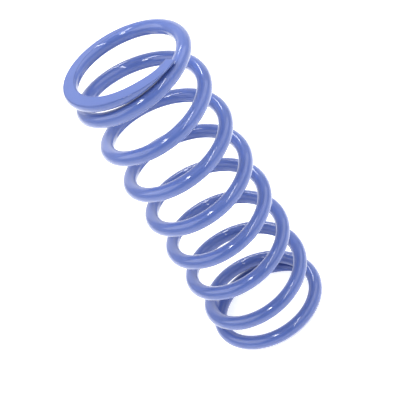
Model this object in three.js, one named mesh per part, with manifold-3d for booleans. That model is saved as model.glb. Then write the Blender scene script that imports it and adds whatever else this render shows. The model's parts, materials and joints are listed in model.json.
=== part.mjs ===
// Helical compression spring for a coil-over suspension strut.
//
// One round bar is wound right-handed, its first and last turns are closed down and ground
// square, and the whole is powder coated blue. The wire is modelled as the stretches that move
// apart when the spring is squeezed: two end coils, which sit still on their seats, and
// quarter-turn stretches of every coil between them.
//
// Millimetres, +Z up. The origin is the centre of the lower ground face, and +Z runs along the
// spring's axis. Along the wire everything is stated in turns counted from the upper tip.

import * as THREE from 'three';
import { mergeVertices } from 'three/addons/utils/BufferGeometryUtils.js';
import Module from 'manifold-3d';

// Driving dimensions of the spring.
const insideDiameter = 57.15;     // slides over the strut and centres on its seats
const freeLength = 203.2;         // ground face to ground face, unloaded
const wireDiameter = 8.4;         // over the powder coat
const totalTurns = 8.82;
const tipAzimuthDegrees = 57.6;   // where the upper tip points, about +Z from +X

// How the ends are closed and shaped: turns are counted from each tip.
const closedPitch = 5.2;          // rise per turn of a closed end coil
const closedTurns = 0.825;        // the pitch starts to open here
const openTurns = 1.145;          // the pitch is fully open here
const groundDepth = 0.63;         // wire centre beyond the ground face at the tip, before lift
const tipLift = 2.6;              // how far the tip stood proud before it was ground away
const tipLiftHeldTurns = 0.04;    // the lift stays whole up to here
const tipLiftTurns = 0.165;       // the lift has died out here
const tipTuck = 0.9;              // how far the wire is drawn in where it runs into its tip
const tipTuckPlace = 0.135;       // the tuck is deepest here
const tipTuckReach = 0.12;        // the tuck dies out this far to either side of that

// How the wire is divided into stretches.
const endCoilTurns = 1.035;
const quartersPerTurn = 4;
const quarterNames = ['right', 'front', 'left', 'back'];
const cutGap = 0.3;               // clearance between neighbouring stretches, along the wire

// Fineness of the faceted solids.
const wireSides = 16;
const stepsPerTurn = 48;
const profileStepsPerTurn = 256;

const meanRadius = (insideDiameter + wireDiameter) / 2;
const wireRadius = wireDiameter / 2;
const gapInTurns = cutGap / (2 * Math.PI * meanRadius);

const powderCoat = { color: 0x5b6fc4, roughness: 0.22, metalness: 0.0 };

function smoothstep(x) {
  const y = THREE.MathUtils.clamp(x, 0, 1);
  return y * y * (3 - 2 * y);
}

// Share of the full pitch that the wire has at a given distance from its nearer tip, 0 to 1.
function pitchOpening(turn) {
  const fromTop = smoothstep((turn - closedTurns) / (openTurns - closedTurns));
  const fromBottom = smoothstep((totalTurns - turn - closedTurns) / (openTurns - closedTurns));
  return fromTop * fromBottom;
}

// Running total of pitchOpening along the wire, sampled evenly, for the wire's rise.
function accumulateOpening() {
  const steps = Math.round(totalTurns * profileStepsPerTurn);
  const stepTurns = totalTurns / steps;
  const totals = [0];
  for (let i = 0; i < steps; i += 1) {
    totals.push(totals[i] + pitchOpening((i + 0.5) * stepTurns) * stepTurns);
  }
  return totals;
}

const openingTotals = accumulateOpening();
const openedTurns = openingTotals[openingTotals.length - 1];
const closedRise = closedPitch * totalTurns;
const extraPitch = (freeLength - 2 * groundDepth - closedRise) / openedTurns;

function openingBefore(turn) {
  const place = (turn / totalTurns) * (openingTotals.length - 1);
  const index = Math.min(Math.floor(place), openingTotals.length - 2);
  return THREE.MathUtils.lerp(openingTotals[index], openingTotals[index + 1], place - index);
}

// Extra rise of the wire's centre near each tip, before grinding.
function liftAt(turnsFromTip) {
  const fade = (turnsFromTip - tipLiftHeldTurns) / (tipLiftTurns - tipLiftHeldTurns);
  return tipLift * (1 - smoothstep(fade));
}

function tuckAt(turnsFromTip) {
  return tipTuck * (1 - smoothstep(Math.abs(turnsFromTip - tipTuckPlace) / tipTuckReach));
}

// Height of the wire's centre above the lower ground face.
function wireHeight(turn) {
  const depth = groundDepth + closedPitch * turn + extraPitch * openingBefore(turn);
  return freeLength - depth + liftAt(turn) - liftAt(totalTurns - turn);
}

// Distance of the wire's centre from the spring's axis.
function coilRadius(turn) {
  return meanRadius - tuckAt(turn) - tuckAt(totalTurns - turn);
}

function wireAzimuth(turn) {
  return THREE.MathUtils.degToRad(tipAzimuthDegrees) - 2 * Math.PI * turn;
}

// Slope of the wire against the horizontal: rise over the distance travelled round the axis.
function helixAngle(turn) {
  const step = 1 / profileStepsPerTurn;
  const before = Math.max(turn - step, 0);
  const after = Math.min(turn + step, totalTurns);
  const rise = wireHeight(before) - wireHeight(after);
  return Math.atan2(rise, (after - before) * 2 * Math.PI * meanRadius);
}

// Bends a straight closed bar onto the helix. Every cross-section stays in a plane through the
// spring's axis, so a round wire's section is a little taller than wide there.
function bentBar(startTurn, endTurn) {
  const steps = Math.max(1, Math.round((endTurn - startTurn) * stepsPerTurn));
  const bar = new THREE.CylinderGeometry(wireRadius, wireRadius, 1, wireSides, steps);
  const position = bar.attributes.position;
  for (let i = 0; i < position.count; i += 1) {
    const turn = THREE.MathUtils.lerp(startTurn, endTurn, position.getY(i) + 0.5);
    const radius = coilRadius(turn) + position.getZ(i);
    const azimuth = wireAzimuth(turn);
    const height = wireHeight(turn) + position.getX(i) / Math.cos(helixAngle(turn));
    position.setXYZ(i, radius * Math.cos(azimuth), radius * Math.sin(azimuth), height);
  }
  bar.deleteAttribute('normal');
  bar.deleteAttribute('uv');
  return mergeVertices(bar, 1e-5);
}

const wasm = await Module();
wasm.setup();

function toManifold(geometry) {
  const vertProperties = new Float32Array(geometry.attributes.position.array);
  const triVerts = new Uint32Array(geometry.index.array);
  return new wasm.Manifold(new wasm.Mesh({ numProp: 3, vertProperties, triVerts }));
}

function toGeometry(manifold) {
  const mesh = manifold.getMesh();
  const geometry = new THREE.BufferGeometry();
  geometry.setAttribute('position', new THREE.BufferAttribute(mesh.vertProperties, 3));
  geometry.setIndex(new THREE.BufferAttribute(mesh.triVerts, 1));
  return geometry;
}

// The stock that the grinding wheel takes away beyond one ground face.
function grindingStock(faceHeight, outward) {
  const width = 4 * meanRadius;
  const depth = wireDiameter;
  const stock = new THREE.BoxGeometry(width, width, depth);
  stock.translate(0, 0, faceHeight + (outward * depth) / 2);
  stock.deleteAttribute('normal');
  stock.deleteAttribute('uv');
  return toManifold(mergeVertices(stock, 1e-5));
}

function named(name, geometry) {
  geometry.computeVertexNormals();
  const mesh = new THREE.Mesh(geometry, new THREE.MeshStandardMaterial(powderCoat));
  mesh.name = name;
  return mesh;
}

function topEndCoil() {
  const bar = toManifold(bentBar(0, endCoilTurns - gapInTurns / 2));
  return named('top_end_coil', toGeometry(bar.subtract(grindingStock(freeLength, 1))));
}

function bottomEndCoil() {
  const start = totalTurns - endCoilTurns;
  const bar = toManifold(bentBar(start + gapInTurns / 2, totalTurns));
  return named('bottom_end_coil', toGeometry(bar.subtract(grindingStock(0, -1))));
}

// One quarter turn between the end coils, named by its coil and the side that it lies on.
function quarterStretch(index) {
  const start = endCoilTurns + index / quartersPerTurn;
  const end = start + 1 / quartersPerTurn;
  const coil = Math.floor(start) + 1;
  const side = quarterNames[index % quartersPerTurn];
  return named(`coil_${coil}_${side}`, bentBar(start + gapInTurns / 2, end - gapInTurns / 2));
}

const spring = new THREE.Group();
spring.add(topEndCoil());
const quarterCount = Math.round((totalTurns - 2 * endCoilTurns) * quartersPerTurn);
for (let index = 0; index < quarterCount; index += 1) {
  spring.add(quarterStretch(index));
}
spring.add(bottomEndCoil());

export default spring;
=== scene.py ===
"""Looks of the coil-over spring: its fine wire, powder coat, studio and camera.

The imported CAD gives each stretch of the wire, its body and how far it follows the compression.
Here each stretch gets a smooth mesh with rounded ground edges. All lengths are in metres, and
places along the wire are in turns, counted from the upper tip.
"""

import json
import math

import bpy
import numpy as np
from mathutils import Matrix, Vector


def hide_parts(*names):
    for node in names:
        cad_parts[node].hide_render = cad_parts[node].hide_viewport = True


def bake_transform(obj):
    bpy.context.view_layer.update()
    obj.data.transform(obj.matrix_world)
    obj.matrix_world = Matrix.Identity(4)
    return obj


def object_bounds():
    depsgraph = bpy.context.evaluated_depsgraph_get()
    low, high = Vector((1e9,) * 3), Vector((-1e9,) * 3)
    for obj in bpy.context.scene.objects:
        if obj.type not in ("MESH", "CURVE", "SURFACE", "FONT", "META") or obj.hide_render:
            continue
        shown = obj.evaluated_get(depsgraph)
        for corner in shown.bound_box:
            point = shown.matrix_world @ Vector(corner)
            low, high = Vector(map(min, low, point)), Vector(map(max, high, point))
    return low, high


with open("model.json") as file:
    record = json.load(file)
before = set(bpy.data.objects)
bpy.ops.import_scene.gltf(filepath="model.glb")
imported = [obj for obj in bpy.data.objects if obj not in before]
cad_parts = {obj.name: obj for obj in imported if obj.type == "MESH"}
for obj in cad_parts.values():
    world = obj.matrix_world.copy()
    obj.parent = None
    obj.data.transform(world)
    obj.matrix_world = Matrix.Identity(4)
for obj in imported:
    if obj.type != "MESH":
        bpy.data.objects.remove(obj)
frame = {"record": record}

CAD_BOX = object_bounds()

# The spring, as the CAD has it.
INSIDE_DIAMETER = 0.05715
WIRE_DIAMETER = 0.0084
FREE_LENGTH = CAD_BOX[1].z
TOTAL_TURNS = 8.82
TIP_AZIMUTH = math.radians(57.6)
CLOSED_PITCH = 0.0052
CLOSED_TURNS = 0.825
OPEN_TURNS = 1.145
GROUND_DEPTH = 0.00063
TIP_LIFT = 0.0026
TIP_LIFT_HELD_TURNS = 0.04
TIP_LIFT_TURNS = 0.165
TIP_TUCK = 0.0009
TIP_TUCK_PLACE = 0.135
TIP_TUCK_REACH = 0.12
END_COIL_TURNS = 1.035
QUARTER_NAMES = ("right", "front", "left", "back")
MEAN_RADIUS = (INSIDE_DIAMETER + WIRE_DIAMETER) / 2
WIRE_RADIUS = WIRE_DIAMETER / 2

# Finish of the ground ends.
EDGE_ROUNDING = 0.00028
TIP_ROUNDING = 0.00025

# Fineness of the meshes.
STEPS_PER_TURN = 128
ROUND_SLOTS = 64
ARC_SLOTS = 24
FILLET_SLOTS = 5
TIP_RINGS = 5
FLAT_PLACES = (0, 0.3, 0.6, 0.85, 1)     # shares of the flat's half width
NARROW_CORNER = math.radians(26)         # a flat narrower than this has no slots of its own
PROFILE_SAMPLES = 4481

TOP, BOTTOM = "top_end_coil", "bottom_end_coil"


def smoothstep(x):
    y = np.clip(x, 0, 1)
    return y * y * (3 - 2 * y)


# ---------------------------------------------------------------- the wire's centre line

def wire_profile():
    """Turns and heights of the wire's centre, sampled evenly from tip to tip."""
    turns = np.linspace(0, TOTAL_TURNS, PROFILE_SAMPLES)
    middles = (turns[1:] + turns[:-1]) / 2
    ramp = OPEN_TURNS - CLOSED_TURNS
    opening = smoothstep((middles - CLOSED_TURNS) / ramp)
    opening *= smoothstep((TOTAL_TURNS - middles - CLOSED_TURNS) / ramp)
    opened = np.concatenate([[0], np.cumsum(opening * np.diff(turns))])
    closed_rise = CLOSED_PITCH * TOTAL_TURNS
    extra_pitch = (FREE_LENGTH - 2 * GROUND_DEPTH - closed_rise) / opened[-1]
    depth = GROUND_DEPTH + CLOSED_PITCH * turns + extra_pitch * opened
    fade = (turns - TIP_LIFT_HELD_TURNS) / (TIP_LIFT_TURNS - TIP_LIFT_HELD_TURNS)
    lift = 1 - smoothstep(fade)
    return turns, FREE_LENGTH - depth + TIP_LIFT * (lift - lift[::-1])


PROFILE_TURNS, PROFILE_HEIGHTS = wire_profile()
PROFILE_SLOPES = np.arctan2(
    -np.gradient(PROFILE_HEIGHTS, PROFILE_TURNS), 2 * math.pi * MEAN_RADIUS
)


def wire_height(turn):
    return np.interp(turn, PROFILE_TURNS, PROFILE_HEIGHTS)


def wire_slope(turn):
    return np.interp(turn, PROFILE_TURNS, PROFILE_SLOPES)


def tuck(turns_from_tip):
    return TIP_TUCK * (1 - smoothstep(abs(turns_from_tip - TIP_TUCK_PLACE) / TIP_TUCK_REACH))


def coil_radius(turn):
    """Distance of the wire's centre from the spring's axis."""
    return MEAN_RADIUS - tuck(turn) - tuck(TOTAL_TURNS - turn)


def place(turn, across, up):
    """Point of a cross-section, across (outwards) and up from the wire's centre, at a turn."""
    azimuth = TIP_AZIMUTH - 2 * math.pi * turn
    radius = coil_radius(turn) + across
    height = wire_height(turn) + up / np.cos(wire_slope(turn))
    return np.stack([radius * np.cos(azimuth), radius * np.sin(azimuth), height], axis=-1)


# ---------------------------------------------------------------- cross-sections

def round_section():
    """Outline of the round wire, from its highest point outwards and down: across, up."""
    angles = np.linspace(0, 2 * math.pi, ROUND_SLOTS, endpoint=False)
    return WIRE_RADIUS * np.sin(angles), WIRE_RADIUS * np.cos(angles)


def half_ground_section(cut, inset):
    """Half outline of a wire ground off at a height cut above its centre, shrunk by inset.

    It runs from the middle of the flat, round the eased edge, to the lowest point. The third
    value is 1 on the eased edge and 0 elsewhere.
    """
    radius, cut, rounding = WIRE_RADIUS - inset, cut - inset, EDGE_ROUNDING - inset
    core = radius - rounding
    corner = math.acos(np.clip((cut - rounding) / core, -1, 1))
    turned = np.linspace(0, corner, FILLET_SLOTS)[1:]
    flat = core * math.sin(corner) * np.array(FLAT_PLACES)
    across = np.concatenate([flat, flat[-1] + rounding * np.sin(turned)])
    up = np.concatenate([np.full(len(flat), cut), cut - rounding + rounding * np.cos(turned)])
    edge = np.concatenate([np.zeros(len(flat) - 1), np.ones(1 + len(turned))])
    arc_start = corner
    if corner < NARROW_CORNER:
        share = corner / NARROW_CORNER
        spread = radius * np.sin(NARROW_CORNER * np.linspace(0, 1, len(across)))
        across = share * across + (1 - share) * spread
        up = np.array([ground_top(x, cut, radius, rounding, corner) for x in across])
        edge = edge * share
        arc_start = math.asin(across[-1] / radius)
    arc = np.linspace(arc_start, math.pi, ARC_SLOTS)[1:]
    across = np.concatenate([across, radius * np.sin(arc)])
    up = np.concatenate([up, radius * np.cos(arc)])
    edge = np.concatenate([edge, np.zeros(len(arc))])
    return across, up, edge


def ground_top(across, cut, radius, rounding, corner):
    """Height of a narrow ground top at a distance across it."""
    flat_end = (radius - rounding) * math.sin(corner)
    if across <= flat_end:
        return min(cut, radius)
    if across < radius * math.sin(corner):
        return cut - rounding + math.sqrt(rounding ** 2 - (across - flat_end) ** 2)
    return math.sqrt(radius ** 2 - across ** 2)


def ground_section(turn, inset):
    """Full outline of an end coil's wire at a turn: across, up and the edge's share."""
    upper = turn < TOTAL_TURNS / 2
    height = wire_height(turn)
    above = FREE_LENGTH - height if upper else height
    cut = min(above * math.cos(wire_slope(turn)), WIRE_RADIUS)
    across, up, edge = half_ground_section(cut, inset)
    across = np.concatenate([across, -across[-2:0:-1]])
    up = np.concatenate([up, up[-2:0:-1]])
    edge = np.concatenate([edge, edge[-2:0:-1]])
    if upper:
        return across, up, edge
    return across[::-1], -up[::-1], edge[::-1]


# ---------------------------------------------------------------- stretches of wire

def rings_between(start, end):
    """Rings of an ordinary stretch: turns, points and edge shares."""
    steps = round((end - start) * STEPS_PER_TURN)
    turns = np.linspace(start, end, steps + 1)
    across, up = round_section()
    points = [place(turn, across, up) for turn in turns]
    return turns, np.array(points), np.zeros((len(turns), len(across)))


def tip_offsets():
    """Distances from the wire's end and the insets there that round the end face's rim."""
    angles = np.linspace(0, math.pi / 2, TIP_RINGS)
    return TIP_ROUNDING * (1 - np.cos(angles)), TIP_ROUNDING * (1 - np.sin(angles))


def end_coil_rings(start, end):
    """Rings of an end coil, its tip's rim rounded."""
    steps = round((end - start) * STEPS_PER_TURN)
    turns = np.linspace(start, end, steps + 1)
    insets = np.zeros(len(turns))
    offsets, tip_insets = tip_offsets()
    tip_turns = offsets / (2 * math.pi * MEAN_RADIUS)
    if start == 0:
        turns = np.concatenate([tip_turns, turns[1:]])
        insets = np.concatenate([tip_insets, insets[1:]])
    else:
        turns = np.concatenate([turns[:-1], end - tip_turns[::-1]])
        insets = np.concatenate([insets[:-1], tip_insets[::-1]])
    points, edges = [], []
    for turn, inset in zip(turns, insets):
        across, up, edge = ground_section(turn, inset)
        points.append(place(turn, across, up))
        edges.append(edge)
    return turns, np.array(points), np.array(edges)


def wire_mesh(name, turns, points, edges):
    """Closed mesh through a row of rings, with a fan over each end."""
    rings, slots, _ = points.shape
    centres = points[[0, -1]].mean(axis=1)
    vertices = np.concatenate([points.reshape(-1, 3), centres])
    faces = []
    for ring in range(rings - 1):
        for slot in range(slots):
            here, there = ring * slots, (ring + 1) * slots
            following = (slot + 1) % slots
            faces.append((here + slot, there + slot, there + following, here + following))
    side_count = len(faces)
    last = (rings - 1) * slots
    for slot in range(slots):
        following = (slot + 1) % slots
        faces.append((rings * slots, slot, following))
        faces.append((rings * slots + 1, last + following, last + slot))
    mesh = bpy.data.meshes.new(name)
    mesh.from_pydata(vertices.tolist(), [], faces)
    for polygon in mesh.polygons:
        polygon.use_smooth = polygon.index < side_count
    for edge in mesh.edges:
        low, high = sorted(edge.vertices)
        on_first_ring = high < slots
        on_last_ring = low >= last and high < rings * slots
        edge.use_edge_sharp = on_first_ring or on_last_ring
    eased = mesh.attributes.new("eased_edge", "FLOAT", "POINT")
    eased.data.foreach_set("value", np.append(edges.ravel(), [0, 0]).astype(np.float32))
    mesh.validate()
    return mesh


def node_stretches():
    """Each CAD node with the turns that it covers, from the top down."""
    stretches = [(TOP, 0, END_COIL_TURNS)]
    quarters = round((TOTAL_TURNS - 2 * END_COIL_TURNS) * len(QUARTER_NAMES))
    for index in range(quarters):
        start = END_COIL_TURNS + index / len(QUARTER_NAMES)
        side = QUARTER_NAMES[index % len(QUARTER_NAMES)]
        node = f"coil_{math.floor(start) + 1}_{side}"
        stretches.append((node, start, start + 1 / len(QUARTER_NAMES)))
    stretches.append((BOTTOM, TOTAL_TURNS - END_COIL_TURNS, TOTAL_TURNS))
    return stretches


# ---------------------------------------------------------------- motion

def compression_shares(stretches):
    """Turns and the share of the compression that the CAD gives the wire there."""
    couplings = frame["record"]["behaviour"]["couplings"]
    ratios = {c["joint"].removesuffix("_travel"): c["ratio"] for c in couplings}
    turns, shares = [0, END_COIL_TURNS], [1, 1]
    for node, start, end in stretches[1:-1]:
        turns.append((start + end) / 2)
        shares.append(ratios[node])
    turns += [TOTAL_TURNS - END_COIL_TURNS, TOTAL_TURNS]
    shares += [0, 0]
    return np.array(turns), np.array(shares)


def follow_compression(piece, ring_shares, slots):
    """Bakes the piece's placement into its mesh and works out each vertex's share of the
    compression; the shares are not applied or stored.
    """
    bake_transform(piece)
    weights = np.repeat(ring_shares, slots)
    weights = np.append(weights, ring_shares[[0, -1]])


# ---------------------------------------------------------------- material

DEEP_BLUE = (0.083, 0.133, 0.388, 1)
LIGHT_BLUE = (0.098, 0.152, 0.428, 1)
# painted shade: a deeper blue along the eased ground edges, which damps their highlight lines
EDGE_SHADE_BLUE = (0.060, 0.100, 0.310, 1)
DRIFT_SCALE = 45.0                # slow change between the two blues
DRIFT_RANGE = (0.3, 0.7)
PATCH_SCALE = 160.0               # patches of more and less gloss under the clear top
PATCH_ROUGHNESS = (0.26, 0.40)
PEEL_SCALE = 650.0                # orange peel of about a millimetre and a half
PEEL_STRENGTH = 0.06
PEEL_DEPTH = 0.00012
LACQUER_IOR = 1.5
LACQUER_ROUGHNESS = 0.03
PIGMENT_SPECULAR = 0.15


def add_node(tree, kind, **inputs):
    """A shader node with its named inputs set."""
    node = tree.nodes.new(kind)
    for name, value in inputs.items():
        node.inputs[name.replace("_", " ")].default_value = value
    return node


def noise(tree, place_node, scale, detail):
    """Noise pattern fixed to the object: its strength output."""
    pattern = add_node(tree, "ShaderNodeTexNoise", Scale=scale, Detail=detail)
    tree.links.new(place_node.outputs["Object"], pattern.inputs["Vector"])
    return pattern.outputs["Fac"]


def coat_colour(tree, drift):
    """Blue that drifts a little, and is darkened with painted shade where the ground edges are
    eased.
    """
    link = tree.links.new
    blues = tree.nodes.new("ShaderNodeValToRGB")
    for stop, position, colour in zip(
        blues.color_ramp.elements, DRIFT_RANGE, (DEEP_BLUE, LIGHT_BLUE)
    ):
        stop.position = position
        stop.color = colour
    link(drift, blues.inputs["Fac"])

    # painted shade on the eased edges: the mask mixes in the deeper blue there
    edge = tree.nodes.new("ShaderNodeAttribute")
    edge.attribute_name = "eased_edge"
    eased = tree.nodes.new("ShaderNodeMix")
    eased.data_type = "RGBA"
    eased.inputs["B"].default_value = EDGE_SHADE_BLUE
    link(edge.outputs["Fac"], eased.inputs["Factor"])
    link(blues.outputs["Color"], eased.inputs["A"])
    return eased.outputs["Result"]


def powder_coat():
    """Glossy blue powder coat: faint colour drift, orange peel and painted shade on the eased
    edges.
    """
    material = bpy.data.materials.new("blue_powder_coat")
    material.use_nodes = True
    tree = material.node_tree
    link = tree.links.new
    shader = tree.nodes["Principled BSDF"]
    shader.inputs["IOR"].default_value = LACQUER_IOR
    shader.inputs["Coat Weight"].default_value = 1.0
    shader.inputs["Coat Roughness"].default_value = LACQUER_ROUGHNESS
    shader.inputs["Specular IOR Level"].default_value = PIGMENT_SPECULAR

    place_node = tree.nodes.new("ShaderNodeTexCoord")
    drift = noise(tree, place_node, DRIFT_SCALE, detail=2.0)
    link(coat_colour(tree, drift), shader.inputs["Base Color"])

    smoothest, roughest = PATCH_ROUGHNESS
    roughness = add_node(tree, "ShaderNodeMapRange", To_Min=smoothest, To_Max=roughest)
    link(noise(tree, place_node, PATCH_SCALE, detail=3.0), roughness.inputs["Value"])
    link(roughness.outputs["Result"], shader.inputs["Roughness"])

    bump = add_node(tree, "ShaderNodeBump", Strength=PEEL_STRENGTH, Distance=PEEL_DEPTH)
    link(noise(tree, place_node, PEEL_SCALE, detail=1.0), bump.inputs["Height"])
    link(bump.outputs["Normal"], shader.inputs["Normal"])
    link(bump.outputs["Normal"], shader.inputs["Coat Normal"])
    return material


# ---------------------------------------------------------------- the spring

def build_spring():
    coat = powder_coat()
    stretches = node_stretches()
    share_turns, shares = compression_shares(stretches)
    for node, start, end in stretches:
        make_rings = end_coil_rings if node in (TOP, BOTTOM) else rings_between
        turns, points, edges = make_rings(start, end)
        mesh = wire_mesh(f"{node}_wire", turns, points, edges)
        mesh.materials.append(coat)
        piece = bpy.data.objects.new(f"{node}_wire", mesh)
        bpy.context.scene.collection.objects.link(piece)
        follow_compression(piece, np.interp(turns, share_turns, shares), points.shape[1])
        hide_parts(node)


# ---------------------------------------------------------------- studio

def direction(azimuth, elevation):
    """Unit vector from the spring's middle, azimuth about +Z from +X, both in degrees."""
    turned, raised = math.radians(azimuth), math.radians(elevation)
    level = math.cos(raised)
    return Vector((level * math.cos(turned), level * math.sin(turned), math.sin(raised)))


MIDDLE = Vector((0, 0, FREE_LENGTH / 2))


def soft_light(name, position, size, radiance, target=MIDDLE, long_azimuth=None):
    """Rectangular area light at a position, facing a target, as bright as stated."""
    light = bpy.data.lights.new(name, "AREA")
    light.shape = "RECTANGLE"
    light.size, light.size_y = size
    light.energy = math.pi * size[0] * size[1] * radiance
    lamp = bpy.data.objects.new(name, light)
    bpy.context.scene.collection.objects.link(lamp)
    lamp.location = position
    facing = (target - position).normalized()
    if long_azimuth is None:
        lamp.rotation_euler = facing.to_track_quat("-Z", "Y").to_euler()
    else:
        along = direction(long_azimuth, 0)
        across = facing.cross(along).normalized()
        along = across.cross(facing)
        lamp.rotation_euler = Matrix((along, across, -facing)).transposed().to_euler()
    lamp.visible_camera = False


# Softboxes and lamps round the spring's middle: azimuth and elevation in degrees, distance
# and size in metres, and radiance.
SOFT_LIGHTS = {
    "side_right": (92, 44, 1.3, (1.9, 0.8), 1.45),
    "side_left": (290, 44, 1.3, (1.5, 0.8), 2.0),
    "overhead": (20, 90, 1.3, (0.8, 0.8), 1.1),
    "behind": (185, 14, 1.5, (2.2, 0.6), 0.6),
    "lamp_front": (347.4, 58.7, 0.527, (0.07, 0.07), 24),
    "lamp_behind": (182, 47, 1.6, (0.13, 0.13), 20),
}

# Two parallel strips overhead: name, azimuth of the side, shift along the strip and length.
STRIPS = (("strip_right", 112, 0.35, 1.6), ("strip_left", 292, 0.17, 0.55))
STRIP_AZIMUTH = 22
STRIP_HEIGHT = 0.95
STRIP_OFFSET = 0.27
STRIP_WIDTH = 0.05
STRIP_RADIANCE = 20

FLOOR_SIZE = 8
FLOOR_DROP = 0.0002               # keeps the floor clear of the lower ground face
FLOOR_PAINT = (0.8, 0.8, 0.8, 1)
FLOOR_ROUGHNESS = 0.9
FLOOR_GLOW = 0.66                 # lifts the floor to white, as in an overexposed background

# The surroundings are dimmer within a wide cone round this azimuth and elevation.
DIM_FRONT = (15, 38)
DIM_CONE = (0.35, 0.9)            # cosines of the cone's outer and inner half angles
AROUND_STRENGTH = 0.66
FRONT_STRENGTH = 0.05
SEEN_STRENGTH = 1.0
WHITE = (1, 1, 1, 1)


def pale_floor():
    bpy.ops.mesh.primitive_plane_add(size=FLOOR_SIZE, location=(0, 0, -FLOOR_DROP))
    floor = bpy.context.object
    floor.name = "floor"
    paint = bpy.data.materials.new("pale_floor")
    paint.use_nodes = True
    shader = paint.node_tree.nodes["Principled BSDF"]
    shader.inputs["Base Color"].default_value = FLOOR_PAINT
    shader.inputs["Roughness"].default_value = FLOOR_ROUGHNESS
    shader.inputs["Specular IOR Level"].default_value = 0
    shader.inputs["Emission Color"].default_value = WHITE
    shader.inputs["Emission Strength"].default_value = FLOOR_GLOW
    floor.data.materials.append(paint)


def soft_world():
    """Pale surroundings, dimmer towards the front, and white where they are seen directly."""
    world = bpy.data.worlds.new("pale_studio")
    world.use_nodes = True
    tree = world.node_tree
    link = tree.links.new
    background = tree.nodes["Background"]
    background.inputs["Color"].default_value = WHITE

    looking = tree.nodes.new("ShaderNodeTexCoord")
    frontal = tree.nodes.new("ShaderNodeVectorMath")
    frontal.operation = "DOT_PRODUCT"
    frontal.inputs[1].default_value = direction(*DIM_FRONT)
    outer, inner = DIM_CONE
    strength = add_node(
        tree, "ShaderNodeMapRange",
        From_Min=outer, From_Max=inner, To_Min=AROUND_STRENGTH, To_Max=FRONT_STRENGTH,
    )
    path = tree.nodes.new("ShaderNodeLightPath")
    seen = tree.nodes.new("ShaderNodeMix")
    seen.inputs["B"].default_value = SEEN_STRENGTH
    link(looking.outputs["Generated"], frontal.inputs[0])
    link(frontal.outputs["Value"], strength.inputs["Value"])
    link(path.outputs["Is Camera Ray"], seen.inputs["Factor"])
    link(strength.outputs["Result"], seen.inputs["A"])
    link(seen.outputs["Result"], background.inputs["Strength"])
    bpy.context.scene.world = world


def overhead_strip(name, azimuth, shift, length):
    """Long narrow light that hangs to one side over the spring and faces straight down."""
    below = MIDDLE + STRIP_OFFSET * direction(azimuth, 0) + shift * direction(STRIP_AZIMUTH, 0)
    soft_light(
        name, below + Vector((0, 0, STRIP_HEIGHT)), (length, STRIP_WIDTH), STRIP_RADIANCE,
        target=below, long_azimuth=STRIP_AZIMUTH,
    )


def studio():
    soft_world()
    for name, (azimuth, elevation, distance, size, radiance) in SOFT_LIGHTS.items():
        position = MIDDLE + distance * direction(azimuth, elevation)
        soft_light(name, position, size, radiance)
    for strip in STRIPS:
        overhead_strip(*strip)
    pale_floor()


# ---------------------------------------------------------------- camera

CAMERA_AZIMUTH = 18.62
CAMERA_ELEVATION = 36.17
CAMERA_ROLL = 31.06
CAMERA_DISTANCE = 0.6625
CAMERA_LENS = 102.74              # focal length in millimetres
SENSOR_WIDTH = 36                 # in millimetres
AIM_RIGHT = -0.00177
AIM_UP = -0.00386


def camera():
    back = direction(CAMERA_AZIMUTH, CAMERA_ELEVATION)
    level_right = Vector((0, 0, 1)).cross(back).normalized()
    level_up = back.cross(level_right)
    roll = math.radians(CAMERA_ROLL)
    up = math.cos(roll) * level_up + math.sin(roll) * level_right
    right = up.cross(back)
    data = bpy.data.cameras.new("camera")
    data.sensor_width = SENSOR_WIDTH
    data.lens = CAMERA_LENS
    view = bpy.data.objects.new("camera", data)
    bpy.context.scene.collection.objects.link(view)
    aim = MIDDLE + AIM_RIGHT * right + AIM_UP * up
    view.matrix_world = Matrix.Translation(aim + CAMERA_DISTANCE * back) @ Matrix(
        (right, up, back)
    ).transposed().to_4x4()
    bpy.context.scene.camera = view


camera()
build_spring()
studio()
bpy.context.scene.view_settings.view_transform = "Standard"
